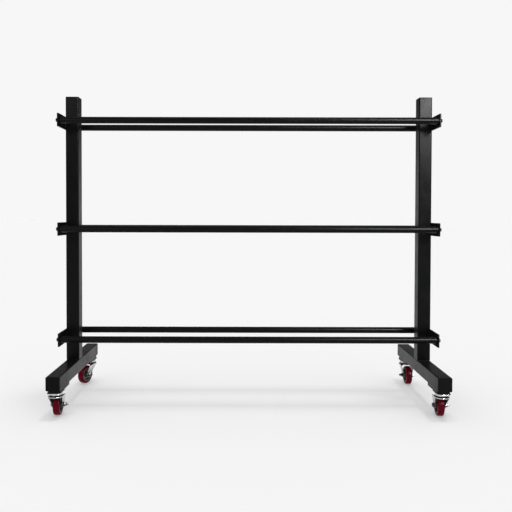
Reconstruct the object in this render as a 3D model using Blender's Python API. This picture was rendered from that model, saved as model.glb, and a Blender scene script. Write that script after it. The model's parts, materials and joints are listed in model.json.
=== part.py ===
"""A medicine ball rack: three tiers of paired rails between two end frames on swivel casters.

Frame: metres, +Z up, origin on the floor below the middle of the rack. +X runs along the rails,
and the rack's front looks along -Y.
"""
import math

import bmesh
import bpy
from mathutils import Matrix, Vector

# General
FIT_GAP = 0.0003              # between pieces that touch, are welded or are clamped
HOLE_CLEARANCE = 0.0005       # radial, between a bolt and the hole it passes through

# End frames: an upright standing on the middle of a foot
FRAME_WIDTH = 1.420           # over the outer faces of the two uprights
TUBE_SIZE = 0.050
TUBE_WALL = 0.002
TUBE_CORNER_RADIUS = 0.004
UPRIGHT_LENGTH = 1.020
FOOT_LENGTH = 0.536

# Plastic caps in the open ends of the square tubes
CAP_FLANGE = 0.0025
CAP_EDGE_RADIUS = 0.001
CAP_PLUG_LENGTH = 0.014
CAP_PLUG_WALL = 0.002

# Rails and the side plates that carry them
RAIL_DIAMETER = 0.025
RAIL_WALL = 0.0015
RAIL_SPACING = 0.195          # from the front rail's axis to the rear rail's
LOWER_TIER = 0.095            # heights of the rail axes above the foot's top face
MIDDLE_TIER = 0.5125
UPPER_TIER_DROP = 0.0993      # from the upright's top end down to the upper rails' axes
PLATE_LENGTH = 0.230
PLATE_HEIGHT = 0.050
PLATE_THICKNESS = 0.005
PLATE_CORNER_RADIUS = 0.003

# The flanged bolts that screw into the rail ends
RAIL_BOLT_DIAMETER = 0.008
RAIL_BOLT_ACROSS_FLATS = 0.013
RAIL_BOLT_HEAD = 0.0065
RAIL_BOLT_FLANGE_DIAMETER = 0.016
RAIL_BOLT_FLANGE = 0.0015
RAIL_BOLT_LENGTH = 0.030
PLUG_LENGTH = 0.030           # of the threaded plug welded into each rail end

# Caster pads, welded under the ends of the feet
PAD_LENGTH = 0.130
PAD_WIDTH = 0.046
PAD_THICKNESS = 0.010
PAD_CORNER_RADIUS = 0.015
PAD_INSET = 0.002             # from the end of the foot's tube to the pad
SWIVEL_INSET = 0.035          # from the end of the foot's tube to the swivel axis

# Casters: depths are measured down from the top plate's upper face
CASTER_HEIGHT = 0.0945
TRAIL = 0.033                 # from the swivel axis to the axle
TOP_PLATE_LENGTH = 0.068
TOP_PLATE_WIDTH = 0.050
TOP_PLATE_THICKNESS = 0.003
TOP_PLATE_CORNER_RADIUS = 0.014
CASTER_BOLT_SPACING_LONG = 0.052
CASTER_BOLT_SPACING_WIDE = 0.030
CASTER_BOLT_DIAMETER = 0.006
CASTER_BOLT_ACROSS_FLATS = 0.010
CASTER_BOLT_HEAD = 0.004
CASTER_BOLT_LENGTH = 0.011

# Swivel: a race and a cup under the top plate run on balls over the fork's crown
RACE_THICKNESS = 0.003
CUP_RADIUS = 0.0235
CUP_WALL = 0.002
CUP_OVERLAP = 0.0004          # how far the cup's lip stays above the balls' lowest points
BALL_DIAMETER = 0.0045
BALL_CAGE = 0.001             # thickness of the ring that spaces the balls
BALL_CAGE_WIDTH = 0.0026
BALL_CIRCLE_RADIUS = 0.0165
BALL_COUNT = 6
CROWN_TOP_RADIUS = 0.0205
CROWN_RADIUS = 0.028
CROWN_SHOULDER = 0.004        # how far the crown drops from its top to its widest ring
CROWN_SKIRT = 0.003           # height of the skirt below that ring
FORK_SHEET = 0.0025
KINGPIN_DIAMETER = 0.012
KINGPIN_HEAD_DIAMETER = 0.020
KINGPIN_HEAD = 0.0015

# Fork legs, from the crown to the axle
LEG_GAP = 0.035               # between the inner faces at the axle
LEG_BOSS_RADIUS = 0.012
LEG_FLARE = 0.0075            # how far each leg leans out from its bend to the crown's widest ring
LEG_BEND_ABOVE_AXLE = 0.013
LEG_NECK_REACH = 0.008        # of the leg's top edge, each way from the swivel axis
LEG_FRONT_REACH = 0.011       # of the leg at the skirt's lower edge, ahead of the swivel axis
LEG_REAR_REACH = 0.0365       # of the leg there, behind the swivel axis

# Wheels
WHEEL_DIAMETER = 0.075
WHEEL_WIDTH = 0.024
WHEEL_CLEARANCE = 0.0035      # from the tread to the arch in the fork's skirt
TYRE_THICKNESS = 0.009
TYRE_EDGE_RADIUS = 0.005
CORE_RIM_WIDTH = 0.022
CORE_RIM = 0.003
CORE_WEB = 0.007
CORE_HUB_DIAMETER = 0.022
CORE_HUB_LENGTH = 0.032
AXLE_DIAMETER = 0.008
AXLE_SLEEVE_DIAMETER = 0.0116
AXLE_ACROSS_FLATS = 0.013
AXLE_HEAD = 0.0055
AXLE_NUT = 0.009
AXLE_END = 0.006              # thread that stands out of the nut

# Turns of the forks at rest, about Z, from wheels that trail straight back
REST_YAW = {
    "front_left": math.radians(4.0),
    "front_right": math.radians(-5.0),
    "rear_left": math.radians(158.0),
    "rear_right": math.radians(179.0),
}
TURNED_AXLES = ("rear_left",)  # casters whose axle bolt went in from the other side

# Facets
CORNER_SEGMENTS = 2
RAIL_SEGMENTS = 16
BOLT_SEGMENTS = 12
SMALL_BOLT_SEGMENTS = 6
CROWN_SEGMENTS = 20
WHEEL_SEGMENTS = 24
BALL_SEGMENTS = 6
BALL_RINGS = 4
BOSS_SEGMENTS = 6

# Places that follow from the sizes
TUBE_OUT = FRAME_WIDTH / 2
TUBE_CENTRE = TUBE_OUT - TUBE_SIZE / 2
PAD_BOTTOM = CASTER_HEIGHT + FIT_GAP
FOOT_BOTTOM = PAD_BOTTOM + PAD_THICKNESS
FOOT_TOP = FOOT_BOTTOM + TUBE_SIZE
UPRIGHT_BOTTOM = FOOT_TOP + FIT_GAP
PLATE_CENTRE = TUBE_OUT + FIT_GAP + PLATE_THICKNESS / 2
PLATE_OUT = TUBE_OUT + FIT_GAP + PLATE_THICKNESS
SWIVEL_Y = FOOT_LENGTH / 2 - SWIVEL_INSET
PAD_Y = FOOT_LENGTH / 2 - PAD_INSET - PAD_LENGTH / 2
CASTER_BOLT_REACH = CASTER_BOLT_LENGTH - TOP_PLATE_THICKNESS
RACE_BOTTOM = TOP_PLATE_THICKNESS + RACE_THICKNESS
BALL_DEPTH = RACE_BOTTOM + FIT_GAP + BALL_DIAMETER / 2
CROWN_TOP = BALL_DEPTH + BALL_DIAMETER / 2 + FIT_GAP
CROWN_RING = CROWN_TOP + CROWN_SHOULDER
CROWN_BOTTOM = CROWN_RING + CROWN_SKIRT
AXLE_DROP = CASTER_HEIGHT - WHEEL_DIAMETER / 2
LEG_IN = LEG_GAP / 2
LEG_OUT = LEG_IN + FORK_SHEET

UPPER_TIER = FIT_GAP + UPRIGHT_LENGTH - UPPER_TIER_DROP

TIERS = {"lower": LOWER_TIER, "middle": MIDDLE_TIER, "upper": UPPER_TIER}
SIDES = {"left": -1, "right": 1}
ENDS = {"front": -1, "rear": 1}


# Materials


def make_material(name, colour, roughness, metallic):
    material = bpy.data.materials.new(name)
    material.use_nodes = True
    shader = material.node_tree.nodes["Principled BSDF"]
    shader.inputs["Base Color"].default_value = (*colour, 1.0)
    shader.inputs["Roughness"].default_value = roughness
    shader.inputs["Metallic"].default_value = metallic
    return material


def make_materials():
    return {
        "black_coat": make_material("black_powder_coat", (0.012, 0.013, 0.013), 0.42, 0.0),
        "plastic": make_material("black_plastic", (0.010, 0.010, 0.010), 0.50, 0.0),
        "black_bolt": make_material("black_bolt", (0.015, 0.015, 0.016), 0.45, 0.6),
        "zinc": make_material("zinc_plate", (0.62, 0.63, 0.62), 0.30, 1.0),
        "steel": make_material("bearing_steel", (0.55, 0.55, 0.56), 0.20, 1.0),
        "tyre": make_material("red_tyre", (0.16, 0.006, 0.020), 0.35, 0.0),
        "core": make_material("grey_core", (0.30, 0.29, 0.28), 0.45, 0.0),
    }


# Objects and Booleans


def new_object(name, shape, material, location=(0, 0, 0), rotation=(0, 0, 0), parent=None):
    """Link an object for a mesh, or for a bmesh, which is freed."""
    mesh = shape
    if isinstance(shape, bmesh.types.BMesh):
        mesh = bpy.data.meshes.new(name)
        shape.to_mesh(mesh)
        shape.free()
    if material is not None and not mesh.materials:
        mesh.materials.append(material)
    thing = bpy.data.objects.new(name, mesh)
    thing.location = location
    thing.rotation_euler = rotation
    thing.parent = parent
    bpy.context.scene.collection.objects.link(thing)
    return thing


def new_axis(name, location, turn=0.0, parent=None):
    """An empty on a joint's axis."""
    axis = bpy.data.objects.new(name, None)
    axis.location = location
    axis.rotation_euler = (0, 0, turn)
    axis.parent = parent
    bpy.context.scene.collection.objects.link(axis)
    return axis


def combined(base, others, operation):
    """The mesh of a bmesh after Booleans with other bmeshes, without spare edges on its flat faces."""
    thing = new_object("base", base, None)
    helpers = []
    for other in others:
        helper = new_object("cutter", other, None)
        helper.hide_render = True
        helper.display_type = "WIRE"
        helpers.append(helper)
        modifier = thing.modifiers.new(operation.lower(), "BOOLEAN")
        modifier.operation = operation
        modifier.solver = "EXACT"
        modifier.object = helper
    graph = bpy.context.evaluated_depsgraph_get()
    mesh = bpy.data.meshes.new_from_object(thing.evaluated_get(graph))
    for used in [thing, *helpers]:
        bpy.data.objects.remove(used)
    bm = bmesh.new()
    bm.from_mesh(mesh)
    bpy.data.meshes.remove(mesh)
    bmesh.ops.dissolve_limit(bm, angle_limit=math.radians(0.5), verts=bm.verts, edges=bm.edges)
    return bm


# Shapes


def edges_along_z(bm):
    found = []
    for edge in bm.edges:
        run = edge.verts[1].co - edge.verts[0].co
        if abs(run.z) > 0.99 * run.length:
            found.append(edge)
    return found


def bevel(bm, edges, radius, segments):
    bmesh.ops.bevel(
        bm, geom=edges, offset=radius, offset_type="OFFSET", segments=segments, profile=0.5,
        affect="EDGES", material=-1, clamp_overlap=True,
    )


def rounded_bar(width, depth, bottom, top, corner_radius):
    """A bar along Z between two heights, width along X and depth along Y, with rounded corners."""
    bm = bmesh.new()
    place = Matrix.Translation((0, 0, (bottom + top) / 2))
    size = Matrix.Diagonal((width, depth, top - bottom, 1.0))
    bmesh.ops.create_cube(bm, size=1.0, matrix=place @ size)
    bevel(bm, edges_along_z(bm), corner_radius, CORNER_SEGMENTS)
    return bm


def face_towards(bm, direction):
    """The face that lies farthest in a direction."""
    return max(bm.faces, key=lambda face: face.calc_center_median().dot(Vector(direction)))


def placed(bm, place):
    """Move all of a bmesh by a matrix."""
    bmesh.ops.transform(bm, matrix=place, verts=bm.verts)
    return bm


def extrude_face(bm, face, offset):
    made = bmesh.ops.extrude_discrete_faces(bm, faces=[face])["faces"][0]
    bmesh.ops.translate(bm, verts=made.verts, vec=offset)
    return made


def hexagon_radius(corner_radius, angle):
    """The distance from a hexagon's centre to its outline, with a corner at angle zero."""
    from_flat = (angle % math.radians(60)) - math.radians(30)
    return corner_radius * math.cos(math.radians(30)) / math.cos(from_flat)


def turned(sections, segments, hollow=False, phase=0.0):
    """A solid along Z through rings of points.

    A section is (radius, height), or (corner radius, height, "hex") for a hexagon. A hollow solid's
    sections go up its outside and down its bore, and its last ring joins its first.
    """
    bm = bmesh.new()
    bmesh.ops.create_circle(bm, cap_ends=False, segments=segments, radius=1.0)
    ring = list(bm.edges)
    rings = [ring]
    for _ in sections[1:]:
        made = bmesh.ops.extrude_edge_only(bm, edges=ring)["geom"]
        ring = [item for item in made if isinstance(item, bmesh.types.BMEdge) and item.is_boundary]
        rings.append(ring)
    for ring, section in zip(rings, sections):
        for vert in {vert for edge in ring for vert in edge.verts}:
            angle = math.atan2(vert.co.y, vert.co.x)
            radius = hexagon_radius(section[0], angle) if "hex" in section else section[0]
            vert.co = (radius * math.cos(angle + phase), radius * math.sin(angle + phase), section[1])
    if hollow:
        bmesh.ops.bridge_loops(bm, edges=rings[0] + rings[-1])
    else:
        bmesh.ops.holes_fill(bm, edges=rings[0] + rings[-1], sides=0)
    bmesh.ops.recalc_face_normals(bm, faces=bm.faces)
    return bm


def peg(radius, bottom, top, centre=(0, 0), segments=BOLT_SEGMENTS):
    """A round solid between two heights, to cut a hole."""
    return placed(turned([(radius, bottom), (radius, top)], segments), Matrix.Translation((*centre, 0)))


def hex_bolt(across_flats, head, diameter, length, segments, flange_diameter=None, flange=0.0):
    """A bolt whose head sits above the origin, with its shank down along Z."""
    corner = across_flats / math.sqrt(3)
    chamfer = diameter / 10
    sections = [(diameter / 2, -length), (diameter / 2, 0)]
    if flange_diameter:
        sections += [(flange_diameter / 2, 0), (flange_diameter / 2, flange)]
    sections += [(corner, flange, "hex"), (corner, flange + head - chamfer, "hex")]
    sections.append((across_flats / 2 - chamfer, flange + head))
    return turned(sections, segments)


def smooth_mesh(name, shape):
    """A mesh that several objects can share, made from a bmesh, which is freed."""
    mesh = bpy.data.meshes.new(name)
    shape.to_mesh(mesh)
    shape.free()
    mesh.shade_smooth()
    mesh.set_sharp_from_angle(angle=math.radians(35))
    return mesh


# End frames


def square_tube(length, welded=(), holes=()):
    """A square tube up Z from the origin, with what is welded to it and the holes that are cut then."""
    tube = rounded_bar(TUBE_SIZE, TUBE_SIZE, 0, length, TUBE_CORNER_RADIUS)
    tube = combined(tube, welded, "UNION")
    hollow = TUBE_SIZE - 2 * TUBE_WALL
    bore = rounded_bar(hollow, hollow, -TUBE_SIZE, length + TUBE_SIZE, TUBE_CORNER_RADIUS - TUBE_WALL)
    return combined(tube, [bore, *holes], "DIFFERENCE")


def foot_shape():
    """A foot up Z from its front end, with its underside and its caster pads towards +Y."""
    standing = Matrix.Translation((0, TUBE_SIZE / 2 + PAD_THICKNESS, FOOT_LENGTH / 2))
    standing = standing @ Matrix.Rotation(math.pi / 2, 4, "X")
    pads = []
    holes = []
    hole = CASTER_BOLT_DIAMETER / 2 + FIT_GAP
    for way in ENDS.values():
        pad = rounded_bar(PAD_WIDTH, PAD_LENGTH, 0, PAD_THICKNESS + TUBE_WALL / 2, PAD_CORNER_RADIUS)
        pads.append(placed(pad, standing @ Matrix.Translation((0, way * PAD_Y, 0))))
        for x, y in caster_bolt_points():
            centre = (x, y + way * SWIVEL_Y)
            cutter = peg(hole, -PAD_THICKNESS, CASTER_BOLT_REACH + FIT_GAP, centre, SMALL_BOLT_SEGMENTS)
            holes.append(placed(cutter, standing))
    return square_tube(FOOT_LENGTH, pads, holes)


def make_end_frames(material):
    upright = smooth_mesh("upright", square_tube(UPRIGHT_LENGTH))
    foot = smooth_mesh("foot", foot_shape())
    lying = (-math.pi / 2, 0, 0)
    for side, sign in SIDES.items():
        x = sign * TUBE_CENTRE
        new_object(f"{side}_upright", upright, material, (x, 0, UPRIGHT_BOTTOM))
        new_object(f"{side}_foot", foot, material, (x, -FOOT_LENGTH / 2, FOOT_BOTTOM + TUBE_SIZE / 2), lying)


def cap_shape():
    """A cap for a tube that ends at the origin: its flange is above, and its hollow plug below."""
    bm = rounded_bar(TUBE_SIZE, TUBE_SIZE, FIT_GAP, FIT_GAP + CAP_FLANGE, TUBE_CORNER_RADIUS)
    bevel(bm, list(face_towards(bm, (0, 0, 1)).edges), CAP_EDGE_RADIUS, 1)
    under = face_towards(bm, (0, 0, -1))
    bmesh.ops.inset_region(bm, faces=[under], thickness=TUBE_WALL + FIT_GAP, use_even_offset=True)
    plug_end = extrude_face(bm, under, (0, 0, -CAP_PLUG_LENGTH))
    bmesh.ops.inset_region(bm, faces=[plug_end], thickness=CAP_PLUG_WALL, use_even_offset=True)
    extrude_face(bm, plug_end, (0, 0, CAP_PLUG_LENGTH - CAP_PLUG_WALL))
    return bm


def make_caps(material):
    cap = smooth_mesh("tube_cap", cap_shape())
    foot_middle = FOOT_BOTTOM + TUBE_SIZE / 2
    for side, sign in SIDES.items():
        x = sign * TUBE_CENTRE
        new_object(f"{side}_upright_cap", cap, material, (x, 0, UPRIGHT_BOTTOM + UPRIGHT_LENGTH))
        for end, way in ENDS.items():
            place = (x, way * FOOT_LENGTH / 2, foot_middle)
            new_object(f"{side}_foot_{end}_cap", cap, material, place, (-way * math.pi / 2, 0, 0))


# Rails, side plates and their fasteners


def rail_shape():
    """A rail along Z: a round tube with a threaded plug welded into each end."""
    outer = RAIL_DIAMETER / 2
    inner = outer - RAIL_WALL
    thread = RAIL_BOLT_DIAMETER / 2 + FIT_GAP
    end = FRAME_WIDTH / 2
    plug = end - PLUG_LENGTH
    sections = [(outer, -end), (outer, end), (thread, end), (thread, plug)]
    sections += [(inner, plug), (inner, -plug), (thread, -plug), (thread, -end)]
    return turned(sections, RAIL_SEGMENTS, hollow=True)


def side_plate_shape():
    """A side plate with its thickness along Z and a hole for each rail's bolt."""
    half = PLATE_THICKNESS / 2
    plate = rounded_bar(PLATE_HEIGHT, PLATE_LENGTH, -half, half, PLATE_CORNER_RADIUS)
    radius = RAIL_BOLT_DIAMETER / 2 + HOLE_CLEARANCE
    holes = []
    for way in ENDS.values():
        holes.append(peg(radius, -PLATE_THICKNESS, PLATE_THICKNESS, (0, way * RAIL_SPACING / 2)))
    return combined(plate, holes, "DIFFERENCE")


def make_tiers(materials):
    """For each tier two rails, the two side plates that carry them and the four bolts between them."""
    rail = smooth_mesh("rail", rail_shape())
    plate = smooth_mesh("side_plate", side_plate_shape())
    bolt = smooth_mesh("rail_bolt", hex_bolt(
        RAIL_BOLT_ACROSS_FLATS, RAIL_BOLT_HEAD, RAIL_BOLT_DIAMETER, RAIL_BOLT_LENGTH, BOLT_SEGMENTS,
        RAIL_BOLT_FLANGE_DIAMETER, RAIL_BOLT_FLANGE,
    ))
    black = materials["black_coat"]
    for tier, height in TIERS.items():
        z = FOOT_TOP + height
        for end, way in ENDS.items():
            y = way * RAIL_SPACING / 2
            new_object(f"{tier}_{end}_rail", rail, black, (0, y, z), (0, math.pi / 2, 0))
            for side, sign in SIDES.items():
                place = (sign * (PLATE_OUT + FIT_GAP), y, z)
                outward = (0, sign * math.pi / 2, 0)
                new_object(f"{tier}_{end}_{side}_rail_bolt", bolt, materials["black_bolt"], place, outward)
        for side, sign in SIDES.items():
            place = (sign * PLATE_CENTRE, 0, z)
            new_object(f"{tier}_{side}_plate", plate, black, place, (0, math.pi / 2, 0))


# Casters


def caster_bolt_points():
    points = []
    for across in (-1, 1):
        for along in (-1, 1):
            points.append((across * CASTER_BOLT_SPACING_WIDE / 2, along * CASTER_BOLT_SPACING_LONG / 2))
    return points


def caster_plate_shape():
    """A caster's top plate from the origin down, with its race, cup, riveted kingpin and four bolts."""
    plate = rounded_bar(TOP_PLATE_WIDTH, TOP_PLATE_LENGTH, -TOP_PLATE_THICKNESS, 0, TOP_PLATE_CORNER_RADIUS)
    inside_plate = -TOP_PLATE_THICKNESS / 2
    under_crown = -(CROWN_TOP + FORK_SHEET + FIT_GAP)
    pin = KINGPIN_DIAMETER / 2
    pin_head = KINGPIN_HEAD_DIAMETER / 2
    cup_inside = CUP_RADIUS - CUP_WALL
    lip = CUP_OVERLAP - BALL_DEPTH - BALL_DIAMETER / 2
    swivel = turned(
        [
            (pin_head, under_crown - KINGPIN_HEAD), (pin_head, under_crown), (pin, under_crown),
            (pin, -RACE_BOTTOM),
            (cup_inside, -RACE_BOTTOM), (cup_inside, lip), (CUP_RADIUS, lip), (CUP_RADIUS, inside_plate),
        ],
        CROWN_SEGMENTS,
    )
    bolts = []
    head = CASTER_BOLT_HEAD + TOP_PLATE_THICKNESS + inside_plate
    reach = CASTER_BOLT_REACH - inside_plate
    for x, y in caster_bolt_points():
        bolt = hex_bolt(CASTER_BOLT_ACROSS_FLATS, head, CASTER_BOLT_DIAMETER, reach, SMALL_BOLT_SEGMENTS)
        upside_down = Matrix.Translation((x, y, inside_plate)) @ Matrix.Rotation(math.pi, 4, "X")
        bolts.append(placed(bolt, upside_down))
    return combined(plate, [swivel, *bolts], "UNION")


def ball_ring_shape():
    """The bearing balls of a swivel, spaced by a flat cage."""
    inner = BALL_CIRCLE_RADIUS - BALL_CAGE_WIDTH / 2
    outer = BALL_CIRCLE_RADIUS + BALL_CAGE_WIDTH / 2
    half = BALL_CAGE / 2
    cage = turned([(outer, -half), (outer, half), (inner, half), (inner, -half)], CROWN_SEGMENTS, hollow=True)
    balls = []
    for index in range(BALL_COUNT):
        ball = bmesh.new()
        bmesh.ops.create_uvsphere(
            ball, u_segments=BALL_SEGMENTS, v_segments=BALL_RINGS, radius=BALL_DIAMETER / 2,
            matrix=Matrix.Translation((BALL_CIRCLE_RADIUS, 0, 0)),
        )
        balls.append(placed(ball, Matrix.Rotation(math.tau * index / BALL_COUNT, 4, "Z")))
    return combined(cage, balls, "UNION")


def tangent_angle(point, centre, radius, side):
    """The angle on a circle where a line from an outside point touches it."""
    away = Vector(point) - Vector(centre)
    return math.atan2(away.y, away.x) + side * math.acos(radius / away.length)


def leg_shape(sign):
    """One leg of the fork: a sheet that is upright at the axle and leans out above its bend."""
    centre = (TRAIL, -AXLE_DROP)
    front = (-LEG_FRONT_REACH, -CROWN_BOTTOM)
    rear = (LEG_REAR_REACH, -CROWN_BOTTOM)
    outline = [front, (-LEG_NECK_REACH, -CROWN_RING), (LEG_NECK_REACH, -CROWN_RING), rear]
    start = tangent_angle(rear, centre, LEG_BOSS_RADIUS, -1)
    end = tangent_angle(front, centre, LEG_BOSS_RADIUS, 1) - math.tau
    for step in range(BOSS_SEGMENTS + 1):
        angle = start + (end - start) * step / BOSS_SEGMENTS
        across = Vector((math.cos(angle), math.sin(angle))) * LEG_BOSS_RADIUS
        outline.append((centre[0] + across.x, centre[1] + across.y))
    bm = bmesh.new()
    face = bm.faces.new([bm.verts.new((sign * LEG_IN, y, z)) for y, z in outline])
    made = bmesh.ops.extrude_face_region(bm, geom=[face], use_keep_orig=True)["geom"]
    outer = [item for item in made if isinstance(item, bmesh.types.BMVert)]
    bmesh.ops.translate(bm, verts=outer, vec=(sign * FORK_SHEET, 0, 0))
    bend = LEG_BEND_ABOVE_AXLE - AXLE_DROP
    whole = bm.verts[:] + bm.edges[:] + bm.faces[:]
    bmesh.ops.bisect_plane(bm, geom=whole, plane_co=(0, 0, bend), plane_no=(0, 0, 1), dist=1e-6)
    for vert in bm.verts:
        if vert.co.z > bend:
            vert.co.x += sign * LEG_FLARE * (vert.co.z - bend) / (-CROWN_RING - bend)
    bmesh.ops.recalc_face_normals(bm, faces=bm.faces)
    return bm


def fork_shape():
    """The fork, pressed from one sheet: a crown, two legs for the axle, and a skirt arched over the wheel."""
    pin_hole = KINGPIN_DIAMETER / 2 + FIT_GAP
    under_top = CROWN_TOP + FORK_SHEET
    inner_top_radius = CROWN_TOP_RADIUS - FORK_SHEET / 2
    inner_radius = CROWN_RADIUS - FORK_SHEET
    sections = [(pin_hole, -under_top), (inner_top_radius, -under_top)]
    sections += [(inner_radius, -(CROWN_RING + FORK_SHEET / 2)), (inner_radius, -CROWN_BOTTOM)]
    sections += [(CROWN_RADIUS, -CROWN_BOTTOM), (CROWN_RADIUS, -CROWN_RING)]
    sections += [(CROWN_TOP_RADIUS, -CROWN_TOP), (pin_hole, -CROWN_TOP)]
    crown = turned(sections, CROWN_SEGMENTS, hollow=True)
    at_axle = Matrix.Translation((0, TRAIL, -AXLE_DROP))
    arch_radius = WHEEL_DIAMETER / 2 + WHEEL_CLEARANCE
    arch_reach = LEG_IN - FIT_GAP
    arch = along_axle(peg(arch_radius, -arch_reach, arch_reach, segments=WHEEL_SEGMENTS))
    crown = combined(crown, [placed(arch, at_axle)], "DIFFERENCE")
    fork = combined(crown, [leg_shape(-1), leg_shape(1)], "UNION")
    axle_hole = along_axle(peg(AXLE_DIAMETER / 2 + HOLE_CLEARANCE, -2 * LEG_OUT, 2 * LEG_OUT))
    return combined(fork, [placed(axle_hole, at_axle)], "DIFFERENCE")


def along_axle(shape):
    """Turn a solid about Z to lie along X, as the axle does."""
    return placed(shape, Matrix.Rotation(math.pi / 2, 4, "Y"))


def edge_arc(radius, half_width, edge_radius):
    """Points of a wheel's outline from its left face over its tread to its right face."""
    points = []
    for way, angles in ((-1, (180, 135, 90)), (1, (90, 45, 0))):
        for angle in angles:
            turn = math.radians(angle)
            height = way * (half_width - edge_radius) + edge_radius * math.cos(turn)
            points.append((radius - edge_radius + edge_radius * math.sin(turn), height))
    return points


def wheel_turned(sections):
    """A hollow solid about Z whose flat facets, not its corners, lie on the radii given."""
    grow = 1 / math.cos(math.pi / WHEEL_SEGMENTS)
    grown = [(radius * grow, height) for radius, height in sections]
    return turned(grown, WHEEL_SEGMENTS, hollow=True, phase=math.pi / WHEEL_SEGMENTS)


def tyre_shape():
    half = WHEEL_WIDTH / 2
    bore = WHEEL_DIAMETER / 2 - TYRE_THICKNESS
    return wheel_turned(edge_arc(WHEEL_DIAMETER / 2, half, TYRE_EDGE_RADIUS) + [(bore, half), (bore, -half)])


def core_shape():
    """A wheel core about Z: its rim carries the tyre and its hub turns on the axle."""
    rim = WHEEL_DIAMETER / 2 - TYRE_THICKNESS - FIT_GAP
    rim_inside = rim - CORE_RIM
    hub = CORE_HUB_DIAMETER / 2
    bore = AXLE_SLEEVE_DIAMETER / 2 + FIT_GAP
    half_rim = CORE_RIM_WIDTH / 2
    half_web = CORE_WEB / 2
    half_hub = CORE_HUB_LENGTH / 2
    sections = [(hub, -half_hub), (hub, -half_web), (rim_inside, -half_web), (rim_inside, -half_rim)]
    sections += [(rim, -half_rim), (rim, half_rim), (rim_inside, half_rim), (rim_inside, half_web)]
    sections += [(hub, half_web), (hub, half_hub), (bore, half_hub), (bore, -half_hub)]
    return wheel_turned(sections)


def axle_shape():
    """The axle about Z: a bolt's head, a sleeve between the legs, a nut and the bolt's end."""
    radius = AXLE_DIAMETER / 2
    sleeve = AXLE_SLEEVE_DIAMETER / 2
    corner = AXLE_ACROSS_FLATS / math.sqrt(3)
    chamfer = AXLE_DIAMETER / 10
    shoulder = LEG_IN - FIT_GAP
    seat = LEG_OUT + FIT_GAP
    head = seat + AXLE_HEAD
    nut = seat + AXLE_NUT
    chamfered = AXLE_ACROSS_FLATS / 2 - chamfer
    sections = [(chamfered, -head), (corner, chamfer - head, "hex"), (corner, -seat, "hex"), (radius, -seat)]
    sections += [(radius, -shoulder), (sleeve, -shoulder), (sleeve, shoulder), (radius, shoulder)]
    sections += [(radius, seat), (corner, seat, "hex"), (corner, nut - chamfer, "hex"), (chamfered, nut)]
    sections += [(radius, nut), (radius, nut + AXLE_END)]
    return turned(sections, BOLT_SEGMENTS)


def make_casters(materials):
    plate = smooth_mesh("caster_plate", caster_plate_shape())
    ring = smooth_mesh("ball_ring", ball_ring_shape())
    fork = smooth_mesh("fork", fork_shape())
    axle = smooth_mesh("axle", along_axle(axle_shape()))
    core = smooth_mesh("wheel_core", along_axle(core_shape()))
    tyre = smooth_mesh("tyre", along_axle(tyre_shape()))
    for end, way in ENDS.items():
        for side, sign in SIDES.items():
            corner = f"{end}_{side}"
            x = sign * TUBE_CENTRE
            y = way * SWIVEL_Y
            new_object(f"{corner}_caster_plate", plate, materials["zinc"], (x, y, CASTER_HEIGHT))
            new_object(f"{corner}_ball_ring", ring, materials["steel"], (x, y, CASTER_HEIGHT - BALL_DEPTH))
            swivel = new_axis(f"{corner}_swivel_axis", (x, y, CASTER_HEIGHT), REST_YAW[corner])
            new_object(f"{corner}_fork", fork, materials["zinc"], parent=swivel)
            roll = new_axis(f"{corner}_wheel_axis", (0, TRAIL, -AXLE_DROP), parent=swivel)
            end_to_end = (0, 0, math.pi if corner in TURNED_AXLES else 0)
            new_object(f"{corner}_axle", axle, materials["zinc"], rotation=end_to_end, parent=roll)
            new_object(f"{corner}_wheel_core", core, materials["core"], parent=roll)
            new_object(f"{corner}_tyre", tyre, materials["tyre"], parent=roll)


def main():
    for thing in list(bpy.data.objects):
        bpy.data.objects.remove(thing)
    materials = make_materials()
    make_end_frames(materials["black_coat"])
    make_caps(materials["plastic"])
    make_tiers(materials)
    make_casters(materials)


main()
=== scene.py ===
# %% [markdown]
# # Dressing a medicine ball rack
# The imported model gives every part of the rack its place, and this script gives it its looks. It is a
# lesson in cells: each step says what a piece is on the real rack and why it is made the way it is.
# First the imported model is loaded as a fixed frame. Its nodes never move, and new pieces ride on its bodies.

# %% Load the frame
import json
import math

import bmesh
import bpy
from mathutils import Matrix, Vector


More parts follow.
